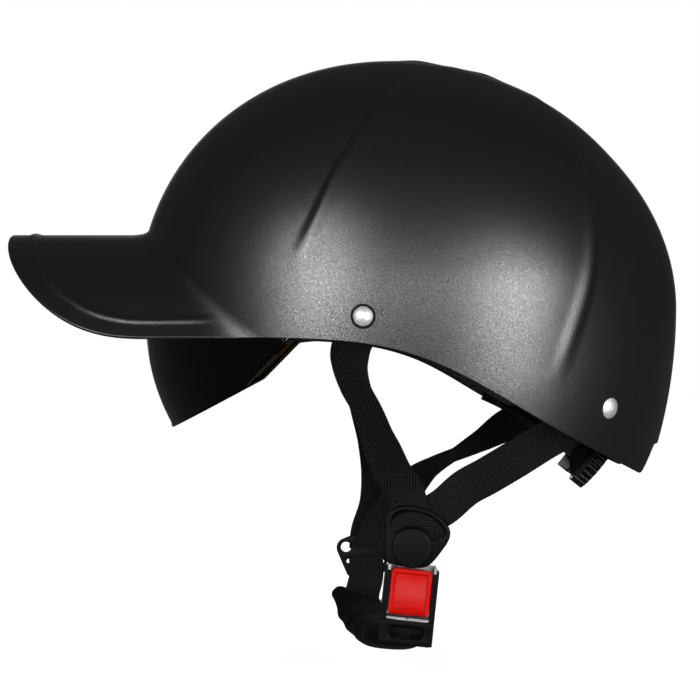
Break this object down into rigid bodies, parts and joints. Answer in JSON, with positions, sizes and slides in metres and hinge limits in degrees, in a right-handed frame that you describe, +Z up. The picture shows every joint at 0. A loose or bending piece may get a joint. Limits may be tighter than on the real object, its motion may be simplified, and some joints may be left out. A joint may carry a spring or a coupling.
{
  "type": "motorcycle half helmet",
  "caption": "Open-face half helmet with a peak, drop-down tinted visor, webbing chin strap with push-release buckle and a nape fit dial.",
  "frame": {"origin": "between the temple pivots, under the highest point of the crown, where the helmet is carried on a head", "axes": "-X is the front of the helmet, -Y the wearer's left, +Z up"},
  "size_m": [0.3285, 0.2262, 0.2946],
  "materials": {
    "shell": "fine-grained satin",
    "foam": "beaded foam",
    "cushion": "soft knitted",
    "visor": "dark brown tint",
    "bright_steel": "plated",
    "dull_steel": "plain",
    "black_ring": "matt",
    "webbing": "woven",
    "black_plastic": "moulded",
    "red_plastic": "moulded",
    "nylon": "moulded"
  },
  "bodies": {
    "helmet": {"outer_shell": "shell", "eps_liner": "foam", "crown_pad": "cushion", "brow_pad": "cushion", "side_pad_left": "cushion", "side_pad_right": "cushion", "pivot_rivets": "bright_steel", "pivot_head_washers": "black_ring", "pivot_spacers": "black_ring", "pivot_inner_washers": "dull_steel", "pivot_nuts": "dull_steel", "rear_rivets": "bright_steel", "rear_rivet_washers": "dull_steel", "strap_front_left": "webbing", "strap_front_right": "webbing", "strap_rear_left": "webbing", "strap_rear_right": "webbing", "divider_left": "black_plastic", "divider_cap": "black_plastic", "tongue_plate": "bright_steel", "divider_right": "black_plastic", "buckle_frame": "bright_steel", "buckle_cheeks": "black_plastic", "return_spring": "dull_steel", "buckle_pins": "bright_steel", "web_bar": "dull_steel", "chin_strap": "webbing", "chin_pad": "cushion", "fit_housing": "black_plastic", "fit_cover": "black_plastic", "fit_bracket": "black_plastic"},
    "visor": {"visor_lens": "visor"},
    "dial": {"fit_dial": "black_plastic", "dial_pinion": "nylon", "dial_screw": "dull_steel"},
    "rack_left": {"rack_left": "black_plastic", "headband_left": "black_plastic"},
    "rack_right": {"rack_right": "black_plastic", "headband_right": "black_plastic"},
    "release": {"release_button": "red_plastic", "latch_plate": "bright_steel"}
  },
  "joints": [
    {"name": "visor_swing", "type": "hinge", "parent": "helmet", "child": "visor", "pos_m": [-0.0157, 0, 0], "axis": [0, 1, 0], "range_deg": [0, 26]},
    {"name": "dial_turn", "type": "hinge", "parent": "helmet", "child": "dial", "pos_m": [0.097, 0, -0.068], "axis": [0.7771, 0, -0.6293], "range_deg": [0, 85.9]},
    {"name": "rack_left_slide", "type": "slide", "parent": "helmet", "child": "rack_left", "axis": [0, 1, 0], "range_m": [0, 0.006]},
    {"name": "rack_right_slide", "type": "slide", "parent": "helmet", "child": "rack_right", "axis": [0, -1, 0], "range_m": [0, 0.006]},
    {"name": "button_press", "type": "slide", "parent": "helmet", "child": "release", "axis": [0, 1, 0], "range_m": [0, 0.0025], "stiffness_N_per_m": 800, "springref_m": -0.002}
  ],
  "couplings": [
    {"joint": "rack_left_slide", "follows": "dial_turn", "m_per_rad": 0.004},
    {"joint": "rack_right_slide", "follows": "dial_turn", "m_per_rad": 0.004}
  ]
}
